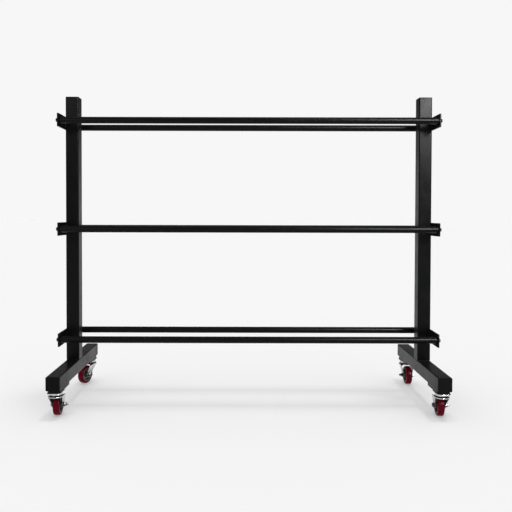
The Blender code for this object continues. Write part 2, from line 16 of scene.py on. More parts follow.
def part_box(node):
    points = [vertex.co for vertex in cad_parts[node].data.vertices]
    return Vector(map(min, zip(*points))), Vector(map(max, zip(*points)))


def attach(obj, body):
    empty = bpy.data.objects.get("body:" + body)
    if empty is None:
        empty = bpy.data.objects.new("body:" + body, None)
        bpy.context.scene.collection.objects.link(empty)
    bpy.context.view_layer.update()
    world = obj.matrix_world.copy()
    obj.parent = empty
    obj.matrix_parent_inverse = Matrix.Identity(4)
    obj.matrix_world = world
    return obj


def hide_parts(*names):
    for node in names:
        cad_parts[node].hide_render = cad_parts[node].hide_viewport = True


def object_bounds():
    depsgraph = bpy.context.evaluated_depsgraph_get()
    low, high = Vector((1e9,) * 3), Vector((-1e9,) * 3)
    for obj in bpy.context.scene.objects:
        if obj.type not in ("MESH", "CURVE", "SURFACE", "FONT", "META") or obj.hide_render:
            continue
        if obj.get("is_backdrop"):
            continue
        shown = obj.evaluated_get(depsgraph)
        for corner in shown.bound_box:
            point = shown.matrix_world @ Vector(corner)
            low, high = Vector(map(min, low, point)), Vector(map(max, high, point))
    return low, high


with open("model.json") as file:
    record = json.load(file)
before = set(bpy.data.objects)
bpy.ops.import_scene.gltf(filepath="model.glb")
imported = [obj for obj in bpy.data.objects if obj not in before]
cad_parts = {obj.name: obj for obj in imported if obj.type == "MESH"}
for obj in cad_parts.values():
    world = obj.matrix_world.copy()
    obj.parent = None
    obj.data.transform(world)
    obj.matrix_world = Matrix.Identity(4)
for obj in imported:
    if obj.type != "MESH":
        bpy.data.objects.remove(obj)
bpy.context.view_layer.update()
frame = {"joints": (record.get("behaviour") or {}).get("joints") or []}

# %% [markdown]
# ## The camera
# A camera has to stand where the photographer stood before anything can be compared. The place, turn and
# lens were found by fitting a pinhole camera to edges of the tubes. The picture was cropped a little
# off-centre, and the lens shift does the same here.

# %% Set the camera
CAMERA_PLACE = (-0.021894, -2.31735, 0.724527)
CAMERA_TURN = (88.865658, -0.126542, 0.017173)
CAMERA_LENS = 41.4951
CAMERA_SHIFT = (0.0257665, -0.0588125)

camera = bpy.data.objects.new("camera", bpy.data.cameras.new("camera"))
camera.location = CAMERA_PLACE
camera.rotation_euler = [math.radians(angle) for angle in CAMERA_TURN]
camera.data.lens = CAMERA_LENS
camera.data.shift_x, camera.data.shift_y = CAMERA_SHIFT
bpy.context.scene.collection.objects.link(camera)
bpy.context.scene.camera = camera
print("The camera stands", round(-CAMERA_PLACE[1], 2), "m in front of the rack")

# %% [markdown]
# ## Node helpers
# Materials are graphs of nodes. A few short helpers keep the graphs readable. A node's inputs take numbers,
# colours or the outputs of other nodes, and the first helper deals with all three.

# %% Write the node helpers


def add_node(tree, kind, values=None, **settings):
    """A node with its settings, and with numbers, colours or other nodes' outputs in its inputs."""
    node = tree.nodes.new(kind)
    for name, value in settings.items():
        setattr(node, name, value)
    for name, value in (values or {}).items():
        if isinstance(value, bpy.types.NodeSocket):
            tree.links.new(value, node.inputs[name])
        else:
            node.inputs[name].default_value = value
    return node


def calculate(tree, operation, *values):
    """The output of a maths node."""
    return add_node(tree, "ShaderNodeMath", dict(enumerate(values)), operation=operation).outputs[0]


def remap(tree, value, start, end, low=0.0, high=1.0, curve="LINEAR"):
    """The output of a node that maps the way from start to end onto the way from low to high."""
    values = {"Value": value, "From Min": start, "From Max": end, "To Min": low, "To Max": high}
    return add_node(tree, "ShaderNodeMapRange", values, interpolation_type=curve).outputs["Result"]


def join(tree, output, target):
    tree.links.new(output, target)


def set_shader(material, name, value):
    """Set one input of a material's main shader."""
    material.node_tree.nodes["Principled BSDF"].inputs[name].default_value = value


print("Node helpers are ready")

# %% [markdown]
# ## The studio
# The rack stands on a pale floor in front of a pale backdrop, both of one colour, so that no horizon shows.
# A matt floor keeps the soft shadow under the feet. What it still lacks to the backdrop's colour is added
# for rays from the camera and for reflections only, so that the floor throws no extra light on the rack.

# %% Lay the floor
BACKDROP = 0.93
FLOOR_COLOUR = 0.68
FLOOR_LIGHT = 0.935      # how much light an open floor gets, where 1 is that of a white dome
FLOOR_REACH = 60.0

floor_bm = bmesh.new()
bmesh.ops.create_grid(floor_bm, x_segments=1, y_segments=1, size=FLOOR_REACH)
floor_mesh = bpy.data.meshes.new("floor")
floor_bm.to_mesh(floor_mesh)
floor_bm.free()
floor = bpy.data.objects.new("floor", floor_mesh)
bpy.context.scene.collection.objects.link(floor)
floor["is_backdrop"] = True


def seen_rays(tree):
    """1 for rays from the camera, reflections and rays through glass, and 0 for the rest."""
    rays = add_node(tree, "ShaderNodeLightPath").outputs
    two = calculate(tree, "MAXIMUM", rays["Is Camera Ray"], rays["Is Glossy Ray"])
    return rays, calculate(tree, "MAXIMUM", two, rays["Is Transmission Ray"])


def pale_floor():
    """A matt floor that glows, when it is looked at, with what it lacks to the backdrop's colour."""
    material = bpy.data.materials.new("pale_floor")
    material.use_nodes = True
    set_shader(material, "Base Color", (FLOOR_COLOUR, FLOOR_COLOUR, FLOOR_COLOUR, 1))
    set_shader(material, "Roughness", 1.0)
    set_shader(material, "Specular IOR Level", 0.0)
    set_shader(material, "Emission Color", (1, 1, 1, 1))
    tree = material.node_tree
    missing = calculate(tree, "MULTIPLY", seen_rays(tree)[1], BACKDROP - FLOOR_COLOUR * FLOOR_LIGHT)
    join(tree, missing, tree.nodes["Principled BSDF"].inputs["Emission Strength"])
    return material


floor_mesh.materials.append(pale_floor())
print("The floor reaches", FLOOR_REACH, "m each way")

# %% [markdown]
# A white dome, brighter overhead, lights the rack softly, and two weak suns, one leaning each way, throw
# its soft shadows. Black paint and zinc show their shape only by what they mirror, so reflections see a
# room: the pale backdrop low down behind the rack, and a darker ceiling and photographer's side.

# %% Light the studio
DOME_LOW = 0.34          # the dome's light from the horizon
DOME_HIGH = 0.85         # and from straight above
ROOM_DARK = 0.14
BACKDROP_TOP = 0.19      # the sine of the height angle at which the mirrored backdrop ends
BACKDROP_EDGE = 0.5      # and of the angles before and behind the rack between which it fades in
SUN_ANGLE = 9            # how wide a sun looks, in degrees
SUNS = {"right_sun": (0.55, 9), "left_sun": (0.25, -7)}      # strength, and degrees from straight above

world = bpy.data.worlds.new("studio")
world.use_nodes = True
bpy.context.scene.world = world
tree = world.node_tree
tree.nodes.clear()
direction = add_node(tree, "ShaderNodeTexCoord").outputs["Generated"]
parts = add_node(tree, "ShaderNodeSeparateXYZ", {0: direction}).outputs
behind = remap(tree, parts["Y"], -BACKDROP_EDGE, BACKDROP_EDGE, curve="SMOOTHSTEP")
low_down = remap(tree, parts["Z"], 0, BACKDROP_TOP, 1, 0, curve="SMOOTHSTEP")
rays, seen = seen_rays(tree)
# The camera sees the backdrop all round, and reflections see it only low down behind the rack.
pale = calculate(tree, "MAXIMUM", calculate(tree, "MULTIPLY", behind, low_down), rays["Is Camera Ray"])
dome = add_node(tree, "ShaderNodeBackground", {"Color": remap(tree, parts["Z"], 0, 1, DOME_LOW, DOME_HIGH)})
room = add_node(tree, "ShaderNodeBackground", {"Color": remap(tree, pale, 0, 1, ROOM_DARK, BACKDROP)})
choice = add_node(tree, "ShaderNodeMixShader", {"Fac": seen, 1: dome.outputs[0], 2: room.outputs[0]})
add_node(tree, "ShaderNodeOutputWorld", {"Surface": choice.outputs[0]})

for name, (strength, lean) in SUNS.items():
    sun = bpy.data.objects.new(name, bpy.data.lights.new(name, "SUN"))
    sun.data.energy = strength
    sun.data.angle = math.radians(SUN_ANGLE)
    sun.rotation_euler = (0, math.radians(lean), 0)
    bpy.context.scene.collection.objects.link(sun)
bpy.context.scene.view_settings.view_transform = "Standard"
print("Two soft suns,", SUN_ANGLE, "degrees wide, light the rack")

# %% Stand a softbox on each side of the camera
SOFTBOX_PLACE = Vector((1.55, -2.5, 2.03))
SOFTBOX_AIM = Vector((0.68, 0, 1.1))
SOFTBOX_SIZE = 0.9
SOFTBOX_POWER = {-1: 10.0, 1: 165.0}     # left and right

for side, power in SOFTBOX_POWER.items():
    softbox = bpy.data.objects.new("softbox", bpy.data.lights.new("softbox", "AREA"))
    across = Vector((side, 1, 1))
    softbox.data.size = SOFTBOX_SIZE
    softbox.data.energy = power
    softbox.location = SOFTBOX_PLACE * across
    softbox.rotation_euler = ((SOFTBOX_AIM - SOFTBOX_PLACE) * across).to_track_quat("-Z", "Y").to_euler()
    softbox.visible_diffuse = False
    softbox.visible_camera = False
    bpy.context.scene.collection.objects.link(softbox)
print("Two softboxes,", SOFTBOX_SIZE, "m wide")

# %% [markdown]
# ## Shared surface effects
# Paint, plastic and plating all vary a little from place to place. Three effects are used by more than one
# finish, so each is a node group with named inputs: a fine grain, faint smudges from handling, and dust that
# gathers on faces that look up. A group puts out numbers only. The shaders stay in the materials.

# %% Build the effect groups
USUAL_GRAINS = 900.0     # grains per metre, where a finish doesn't say how many
USUAL_PATCHES = 14.0     # and smudged patches per metre
FINER = 2.7              # how many fine grains there are to a coarse one
FINE_SHARE = 0.35        # and how strong they are beside it
SMUDGE_NOISE = (0.42, 0.72)      # the noise at which a smudge begins and the noise at which it is full
SPECK_NOISE = (0.45, 0.75)       # and the same for a speck of dust
SPECKS = 420.0                   # per metre
DUST_SLOPE = (0.35, 1.0)         # how much a face has to look up to hold some dust, and to hold all


def new_group(name, inputs, outputs):
    """An empty node group with float or vector inputs and float outputs."""
    tree = bpy.data.node_groups.new(name, "ShaderNodeTree")
    for label, kind, value in inputs:
        socket = tree.interface.new_socket(name=label, in_out="INPUT", socket_type=kind)
        if kind == "NodeSocketFloat":
            socket.default_value = value
    for label in outputs:
        tree.interface.new_socket(name=label, in_out="OUTPUT", socket_type="NodeSocketFloat")
    return tree, add_node(tree, "NodeGroupInput").outputs, add_node(tree, "NodeGroupOutput").inputs


def build_grain():
    """Fine bumps of a sprayed or moulded skin: two sizes of noise, the smaller one weaker."""
    inputs = [("Place", "NodeSocketVector", 0), ("Grains per metre", "NodeSocketFloat", USUAL_GRAINS)]
    tree, given, result = new_group("skin_grain", inputs, ["Height"])
    place, grains = given["Place"], given["Grains per metre"]
    finer = calculate(tree, "MULTIPLY", grains, FINER)
    noises = []
    for scale, detail in ((grains, 2.0), (finer, 1.0)):
        values = {"Vector": place, "Scale": scale, "Detail": detail, "Roughness": 0.5}
        noises.append(add_node(tree, "ShaderNodeTexNoise", values).outputs["Fac"])
    join(tree, calculate(tree, "MULTIPLY_ADD", noises[1], FINE_SHARE, noises[0]), result["Height"])
    return tree


def build_smudges():
    """Broad faint patches where hands and cloths have been, from 0 to 1."""
    inputs = [("Place", "NodeSocketVector", 0), ("Patches per metre", "NodeSocketFloat", USUAL_PATCHES)]
    tree, given, result = new_group("handling_smudges", inputs, ["Mask"])
    patches = add_node(tree, "ShaderNodeTexNoise", {
        "Vector": given["Place"], "Scale": given["Patches per metre"],
        "Detail": 4.0, "Roughness": 0.6, "Distortion": 0.6,
    })
    join(tree, remap(tree, patches.outputs["Fac"], *SMUDGE_NOISE), result["Mask"])
    return tree


def build_dust():
    """Specks of dust, thick on faces that look up and none on those that look down."""
    inputs = [("Place", "NodeSocketVector", 0), ("Facing", "NodeSocketVector", 0)]
    tree, given, result = new_group("settled_dust", inputs, ["Mask"])
    facing = add_node(tree, "ShaderNodeSeparateXYZ", {0: given["Facing"]})
    values = {"Vector": given["Place"], "Scale": SPECKS, "Detail": 3.0, "Roughness": 0.7}
    specks = add_node(tree, "ShaderNodeTexNoise", values)
    upward = remap(tree, facing.outputs["Z"], *DUST_SLOPE)
    sharp = remap(tree, specks.outputs["Fac"], *SPECK_NOISE)
    join(tree, calculate(tree, "MULTIPLY", upward, sharp), result["Mask"])
    return tree


GRAIN = build_grain()
SMUDGES = build_smudges()
DUST = build_dust()
print("Effect groups:", [group.name for group in bpy.data.node_groups])

# %% [markdown]
# ## Finishes
# Every finish here is one skin over one solid: a base colour that drifts a little, a roughness that smudges
# change, and a fine bump. One function sets up that common graph, and a short function for each finish gives
# it the right numbers. Places come from Object coordinates, in metres, so a pattern keeps its real size.
# Painted shade also darkens corners that little light reaches, and an Ambient Occlusion node finds those.

# %% Write the common graph
SMUDGE_SHARE = 0.6       # how far a smudge goes towards the worn colour
DUST_COLOUR = (0.30, 0.29, 0.27)
BUMP_HEIGHT = 0.0003
OPEN_SHARE = 0.80        # a surface that sees this much of its surroundings gets no painted shade
HIDDEN_SHARE = 0.30      # and one that sees this little gets the full painted shade
CORNER_SAMPLES = 8


def use_group(tree, group, values):
    """The output of an effect group."""
    return add_node(tree, "ShaderNodeGroup", values, node_tree=group).outputs[0]


def mixed_colour(tree, mask, strength, first, second):
    """A colour that goes from the first towards the second by strength where the mask is 1."""
    values = {"Factor": calculate(tree, "MULTIPLY", mask, strength)}
    for socket, colour in ((6, first), (7, second)):
        values[socket] = (*colour, 1.0) if isinstance(colour, tuple) else colour
    return add_node(tree, "ShaderNodeMix", values, data_type="RGBA").outputs[2]


def skin(name, colour, worn_colour, roughness, grain, bump, dust=0.0, patches=USUAL_PATCHES):
    """A material with a drifting colour and roughness and a fine bump. Roughness is (clean, smudged)."""
    material = bpy.data.materials.new(name)
    material.use_nodes = True
    tree = material.node_tree
    shader = tree.nodes["Principled BSDF"]
    place = add_node(tree, "ShaderNodeTexCoord").outputs["Object"]
    smudges = use_group(tree, SMUDGES, {"Place": place, "Patches per metre": patches})
    grains = use_group(tree, GRAIN, {"Place": place, "Grains per metre": grain})
    base = mixed_colour(tree, smudges, SMUDGE_SHARE, colour, worn_colour)
    if dust:
        facing = add_node(tree, "ShaderNodeNewGeometry").outputs["Normal"]
        specks = use_group(tree, DUST, {"Place": place, "Facing": facing})
        base = mixed_colour(tree, specks, dust, base, DUST_COLOUR)
    relief = add_node(tree, "ShaderNodeBump", {"Strength": bump, "Distance": BUMP_HEIGHT, "Height": grains})
    join(tree, base, shader.inputs["Base Color"])
    join(tree, remap(tree, smudges, 0, 1, *roughness), shader.inputs["Roughness"])
    join(tree, relief.outputs["Normal"], shader.inputs["Normal"])
    return material


def darken(material, mask, dark):
    """Pull a material's base colour towards a dark one where a mask is 1."""
    tree = material.node_tree
    base = tree.nodes["Principled BSDF"].inputs["Base Color"]
    join(tree, mixed_colour(tree, mask, 1.0, base.links[0].from_socket, dark), base)


def painted_shade_mask(tree, reach, alone=False):
    """The painted shade: 1 in corners hidden by surfaces nearer than a reach, of the piece alone or of all
    pieces.
    """
    open_share = add_node(
        tree, "ShaderNodeAmbientOcclusion", {"Distance": reach}, samples=CORNER_SAMPLES, only_local=alone,
    )
    return remap(tree, open_share.outputs["AO"], OPEN_SHARE, HIDDEN_SHARE)


print("The common graph is ready")

# %% Mix the paint and the plastics
BLACK_SHINE = 0.08       # how strongly a clean black surface mirrors, where 0.5 is usual
RED_SHINE = 0.06
HUB_RECESS = 0.02        # how near the core's other surfaces have to be for painted shade in a corner of it
HUB_SHADE_COLOUR = (0.012, 0.012, 0.011)


def powder_coat():
    """Satin black, baked on: nearly no colour of its own, with the orange-peel grain of sprayed powder."""
    material = skin(
        "satin_powder_coat", colour=(0.0054, 0.0058, 0.0057), worn_colour=(0.0075, 0.0078, 0.0076),
        roughness=(0.28, 0.38), grain=700.0, bump=0.10, dust=0.02,
    )
    set_shader(material, "Specular IOR Level", BLACK_SHINE)
    return material


def cap_plastic():
    """Moulded polyethylene: softer and more matt than the paint, with a finer leather-like grain."""
    material = skin(
        "moulded_cap_plastic", colour=(0.004, 0.004, 0.004), worn_colour=(0.007, 0.007, 0.007),
        roughness=(0.42, 0.55), grain=1500.0, bump=0.16, dust=0.03,
    )
    set_shader(material, "Specular IOR Level", BLACK_SHINE)
    return material


def tread_rubber():
    """Cast polyurethane, wine red, glossy where it is clean, with scuffs on the tread."""
    material = skin(
        "wine_red_tread", colour=(0.165, 0.002, 0.014), worn_colour=(0.125, 0.004, 0.014),
        roughness=(0.24, 0.42), grain=500.0, bump=0.06, patches=55.0,
    )
    set_shader(material, "Specular IOR Level", RED_SHINE)
    return material


def core_nylon():
    """Moulded grey nylon with a dry, even skin, and with painted shade in the recess round its hub."""
    material = skin(
        "grey_core_nylon", colour=(0.21, 0.205, 0.195), worn_colour=(0.15, 0.145, 0.14),
        roughness=(0.40, 0.52), grain=1200.0, bump=0.10, patches=40.0,
    )
    # Painted shade darkens the recess round the hub.
    darken(material, painted_shade_mask(material.node_tree, HUB_RECESS, alone=True), HUB_SHADE_COLOUR)
    return material


POWDER_COAT = powder_coat()
CAP_PLASTIC = cap_plastic()
TREAD_RUBBER = tread_rubber()
CORE_NYLON = core_nylon()
print("Paint and plastics:", POWDER_COAT.name, CAP_PLASTIC.name, TREAD_RUBBER.name, CORE_NYLON.name)

# %% [markdown]
# The casters' zinc is bright above and darker towards the floor, and painted shade makes its hidden corners
# nearly black.
# The other metals, the rail bolts' black oxide and the hardened steel of the swivels, are plain.

# %% Plate and blacken the metals
DARKENING_TOP = 0.072        # the heights between which the plating darkens towards the floor
DARKENING_FULL = 0.040
NEAR_FLOOR_COLOUR = (0.16, 0.17, 0.16)
CORNER_REACH = 0.025     # how near another surface has to be for painted shade in a corner
# The painted shade in the zinc's hidden corners goes to this colour.
CORNER_SHADE_COLOUR = (0.008, 0.009, 0.008)


def metal(name, **numbers):
    """A skin that mirrors as metal does."""
    material = skin(name, **numbers)
    set_shader(material, "Metallic", 1.0)
    return material


def plated_steel(name, **numbers):
    """Bright zinc, darker towards the floor, with painted shade that makes its hidden corners nearly black."""
    material = metal(name, **numbers)
    tree = material.node_tree
    place = add_node(tree, "ShaderNodeTexCoord").outputs["Object"]
    parts = add_node(tree, "ShaderNodeSeparateXYZ", {0: place}).outputs
    # The plating darkens towards the floor, and painted shade blackens its hidden corners.
    darken(material, remap(tree, parts["Z"], DARKENING_TOP, DARKENING_FULL), NEAR_FLOOR_COLOUR)
    darken(material, painted_shade_mask(tree, CORNER_REACH), CORNER_SHADE_COLOUR)
    return material


ZINC = plated_steel(
    "bright_zinc_plate", colour=(0.66, 0.67, 0.66), worn_colour=(0.40, 0.41, 0.40), roughness=(0.16, 0.34),
    grain=1600.0, bump=0.10, patches=90.0,
)
BALL_STEEL = metal(
    "polished_ball_steel", colour=(0.62, 0.62, 0.63), worn_colour=(0.45, 0.44, 0.42), roughness=(0.10, 0.25),
    grain=800.0, bump=0.02, patches=120.0,
)
BLACK_OXIDE = metal(
    "black_oxide_steel", colour=(0.035, 0.035, 0.037), worn_colour=(0.055, 0.053, 0.05),
    roughness=(0.32, 0.48), grain=1800.0, bump=0.10, patches=60.0,
)
print("Metals:", ZINC.name, BALL_STEEL.name, BLACK_OXIDE.name)

# %% [markdown]
# ## Mesh helpers
# Each piece starts as a bmesh, an editable mesh in memory, and the operators of Blender's edit mode shape
# it. Blocks, spun outlines and hexagons cover most of a steel rack. Real edges are never quite sharp, so
# most pieces get a small bevel, and a modifier keeps the shading of their flat faces flat.

# %% Write the mesh helpers
AXIS_X, AXIS_Y, AXIS_Z = range(3)
PARALLEL = 0.99          # the share of an edge or of a face's normal that has to run along an axis
MERGE = 1e-7             # corners this near to each other become one
LEVEL = 1e-6             # and heights this near count as one
HEX_CHAMFER = 0.0006
SHARP_ANGLE = 32         # edges whose faces meet at more degrees than this look sharp
ALL_SMOOTH = 180
LIE_ALONG_X = Matrix.Rotation(math.pi / 2, 4, "Y")
UPSIDE_DOWN = Matrix.Rotation(math.pi, 4, "X")


def block(low, high):
    """A box between two corners."""
    bm = bmesh.new()
    low, high = Vector(low), Vector(high)
    size = Matrix.Diagonal((*(high - low), 1.0))
    bmesh.ops.create_cube(bm, size=1.0, matrix=Matrix.Translation((low + high) / 2) @ size)
    return bm


def round_edges(bm, edges, radius, segments):
    bmesh.ops.bevel(
        bm, geom=edges, offset=radius, offset_type="OFFSET", segments=segments, profile=0.5,
        affect="EDGES", material=-1, clamp_overlap=True,
    )


def edges_along(bm, axis):
    """The edges that run along an axis."""
    found = []
    for edge in bm.edges:
        run = edge.verts[1].co - edge.verts[0].co
        if abs(run[axis]) > PARALLEL * run.length:
            found.append(edge)
    return found


def soften(bm, radius, segments=2, angle=35):
    """Bevel every edge that is sharper than an angle."""
    bend = math.radians(angle)
    sharp = [edge for edge in bm.edges if len(edge.link_faces) == 2 and edge.calc_face_angle() > bend]
    round_edges(bm, sharp, radius, segments)


def spun(outline, steps, closed=True):
    """A solid of revolution about Z from (radius, height) points. A closed outline makes a ring."""
    bm = bmesh.new()
    points = [bm.verts.new((radius, 0, height)) for radius, height in outline]
    lines = [bm.edges.new(pair) for pair in zip(points, points[1:])]
    if closed:
        lines.append(bm.edges.new((points[-1], points[0])))
    bmesh.ops.spin(
        bm, geom=points + lines, cent=(0, 0, 0), axis=(0, 0, 1), dvec=(0, 0, 0), angle=math.tau, steps=steps,
        use_merge=True, use_duplicate=False,
    )
    bmesh.ops.remove_doubles(bm, verts=bm.verts, dist=MERGE)
    bmesh.ops.recalc_face_normals(bm, faces=bm.faces)
    return bm


def hexagon(across_flats, bottom, top, chamfer=HEX_CHAMFER):
    """A hexagon bar along Z whose top corners are chamfered, as on a bolt's head or a nut."""
    bm = bmesh.new()
    bmesh.ops.create_circle(bm, cap_ends=True, segments=6, radius=across_flats / math.sqrt(3))
    made = bmesh.ops.extrude_face_region(bm, geom=bm.faces[:], use_keep_orig=True)["geom"]
    upper = [item for item in made if isinstance(item, bmesh.types.BMVert)]
    bmesh.ops.translate(bm, verts=upper, vec=(0, 0, top - bottom))
    bmesh.ops.translate(bm, verts=bm.verts, vec=(0, 0, bottom))
    bmesh.ops.recalc_face_normals(bm, faces=bm.faces)
    rim = [edge for edge in bm.edges if all(abs(vert.co.z - top) < LEVEL for vert in edge.verts)]
    round_edges(bm, rim, chamfer, segments=1)
    round_edges(bm, edges_along(bm, AXIS_Z), chamfer / 3, segments=2)
    return bm


def moved(bm, matrix):
    bmesh.ops.transform(bm, matrix=matrix, verts=bm.verts)
    return bm


def gathered(parts):
    """One bmesh that holds several closed shapes. The parts are freed."""
    whole = bmesh.new()
    for part in parts:
        mesh = bpy.data.meshes.new("part")
        part.to_mesh(mesh)
        part.free()
        whole.from_mesh(mesh)
        bpy.data.meshes.remove(mesh)
    return whole


def add_piece(bm, name, finish, body, nodes=(), angle=SHARP_ANGLE):
    """Make a bmesh an object that rides on a body and stands for some CAD nodes. The bmesh is freed."""
    mesh = bpy.data.meshes.new(name)
    bm.to_mesh(mesh)
    bm.free()
    mesh.materials.append(finish)
    mesh.shade_smooth()
    mesh.set_sharp_from_angle(angle=math.radians(angle))
    piece = bpy.data.objects.new(name, mesh)
    bpy.context.scene.collection.objects.link(piece)
    flat = piece.modifiers.new("flat_shading", "WEIGHTED_NORMAL")
    flat.keep_sharp = True
    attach(piece, body)
    if nodes:
        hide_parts(*nodes)
    return piece


def add_coated(bm, name, nodes=(), angle=SHARP_ANGLE):
    """A piece of the black frame, which is welded and bolted into one body."""
    return add_piece(bm, name, POWDER_COAT, "rack", nodes, angle)


print("Mesh helpers are ready")

# %% [markdown]
# ## Square tubes
# The uprights and feet are 50 mm square steel tubes with a 2 mm wall. A box without its two end faces, with
# its long edges rounded and its wall thickened inwards, is what a tube mill makes: flat sides between
# rounded corners. A plain cube would have corners too sharp to catch the light.

# %% Make the uprights and feet
TUBE_WALL = 0.002
TUBE_CORNER = 0.004
CORNER_STEPS = 6
SIDES = ("left", "right")
ENDS = ("front", "rear")


def square_tube(low, high, axis):
    """A hollow square tube between two corners, along an axis."""
    bm = block(low, high)
    ends = [face for face in bm.faces if abs(face.normal[axis]) > PARALLEL]
    bmesh.ops.delete(bm, geom=ends, context="FACES_ONLY")
    round_edges(bm, edges_along(bm, axis), TUBE_CORNER, CORNER_STEPS)
    bmesh.ops.recalc_face_normals(bm, faces=bm.faces)
    bmesh.ops.solidify(bm, geom=bm.faces[:], thickness=TUBE_WALL)
    return bm


for side in SIDES:
    low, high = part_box(f"{side}_upright")
    tube = add_coated(square_tube(low, high, AXIS_Z), f"{side}_upright_tube", [f"{side}_upright"])

# %% [markdown]
# A foot is the same tube, lying down, with a thick steel pad welded under each end to take the caster's
# bolts. The pads are separate blocks here, because the weld between them and the tube shows as a line.
# Pads and side plates are cut alike: their corners are rounded, and their edges are barely broken.

# %% Make the feet
PAD_LENGTH = 0.130
PAD_WIDTH = 0.046
PAD_THICKNESS = 0.010
PAD_INSET = 0.002
PAD_CORNER = 0.015
PLATE_STEPS = 5
EDGE_BREAK = 0.0004


def cut_plate(low, high, axis, corner):
    """A steel plate between two corners, with its face across an axis."""
    bm = block(low, high)
    round_edges(bm, edges_along(bm, axis), corner, PLATE_STEPS)
    soften(bm, EDGE_BREAK)
    return bm


pad_half = Vector((PAD_WIDTH / 2, PAD_LENGTH / 2, 0))
pad_rise = Vector((0, 0, PAD_THICKNESS))
for side in SIDES:
    low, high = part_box(f"{side}_foot")
    middle_x = (low.x + high.x) / 2
    tube_low = Vector((low.x, low.y, low.z + PAD_THICKNESS))
    add_coated(square_tube(tube_low, high, AXIS_Y), f"{side}_foot_tube", [f"{side}_foot"])
    for end, way in zip(ENDS, (-1, 1)):
        centre = Vector((middle_x, way * (high.y - PAD_INSET - PAD_LENGTH / 2), low.z))
        pad = cut_plate(centre - pad_half, centre + pad_half + pad_rise, AXIS_Z, PAD_CORNER)
        add_coated(pad, f"{side}_foot_{end}_pad")

# %% [markdown]
# ## Weld beads
# Where an upright meets its foot, and where a side plate meets an upright, a welder has run a bead. Painted
# over, it reads as a row of soft ripples. A short ring is extruded step by step along the joint, and each
# step is scaled a little up or down, which gives the stacked-coin look.

# %% Run the weld beads
BEAD_RADIUS = 0.0024       # its full size
RIPPLE = 0.0022            # from one ripple's crest to the next
RIPPLE_LOW = 0.86          # how thick a bead is between two crests, as a share of its full size
BEAD_END = 0.4             # and at its ends
BEAD_TAPER = 4.0           # how fast it grows from its ends, in full sizes per length of the bead
BEAD_SIDES = 10
BEAD_SMOOTH = 60
STEPS_PER_RIPPLE = 4


def weld_bead(start, finish):
    """A rippled bead between two points."""
    run = Vector(finish) - Vector(start)
    bm = bmesh.new()
    bmesh.ops.create_circle(bm, cap_ends=True, segments=BEAD_SIDES, radius=BEAD_END * BEAD_RADIUS)
    ring = list(bm.edges)
    steps = STEPS_PER_RIPPLE * round(run.length / RIPPLE)
    for step in range(1, steps + 1):
        made = bmesh.ops.extrude_edge_only(bm, edges=ring)["geom"]
        ring = [item for item in made if isinstance(item, bmesh.types.BMEdge) and item.is_boundary]
        verts = list({vert for edge in ring for vert in edge.verts})
        end_fade = min(1.0, BEAD_TAPER * min(step, steps - step + 1) / steps + BEAD_END)
        ripple = RIPPLE_LOW + (1 - RIPPLE_LOW) * abs(math.sin(math.pi * step / STEPS_PER_RIPPLE))
        radius = BEAD_RADIUS * end_fade * ripple
        height = run.length * step / steps
        for vert in verts:
            vert.co = Vector((vert.co.x, vert.co.y, 0)).normalized() * radius + Vector((0, 0, height))
    bmesh.ops.holes_fill(bm, edges=ring, sides=0)
    bmesh.ops.recalc_face_normals(bm, faces=bm.faces)
    return moved(bm, Matrix.Translation(start) @ run.to_track_quat("Z", "Y").to_matrix().to_4x4())


for side in SIDES:
    low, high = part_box(f"{side}_upright")
    beads = []
    for y in (low.y, high.y):
        beads.append(weld_bead((low.x + TUBE_CORNER, y, low.z), (high.x - TUBE_CORNER, y, low.z)))
    add_coated(gathered(beads), f"{side}_upright_weld", angle=BEAD_SMOOTH)

# %% Weld the side plates to the uprights
TIERS = ("lower", "middle", "upper")
BEAD_SINK = 0.001          # how deep a plate's bead sits in the groove beside the tube's round corner
BEAD_SHORT = 0.002         # from a bead's ends to the plate's edges

for side, sign in zip(SIDES, (-1, 1)):
    upright_low, upright_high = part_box(f"{side}_upright")
    for tier in TIERS:
        low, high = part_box(f"{tier}_{side}_plate")
        x = (low.x if sign > 0 else high.x) - sign * BEAD_SINK
        beads = []
        for y in (upright_low.y + BEAD_SINK, upright_high.y - BEAD_SINK):
            beads.append(weld_bead((x, y, low.z + BEAD_SHORT), (x, y, high.z - BEAD_SHORT)))
        add_coated(gathered(beads), f"{tier}_{side}_plate_weld", angle=BEAD_SMOOTH)
print("Two beads hold each side plate")

# %% [markdown]
# ## Tube caps
# Six moulded caps close the open ends of the square tubes. A cap is a thin square flange, rounded at its
# corners and along its rim, with a plug behind it that grips the inside of the tube. The flange is bevelled
# in two steps, first its corners and then its rim, and the plug is extruded from an inset of its back.

# %% Mould the caps
CAP_FLANGE = 0.0025
CAP_GAP = 0.0003
CAP_RIM = 0.0011
CAP_RIM_STEPS = 4
PLUG_DEPTH = 0.014
PLUG_WALL = 0.002


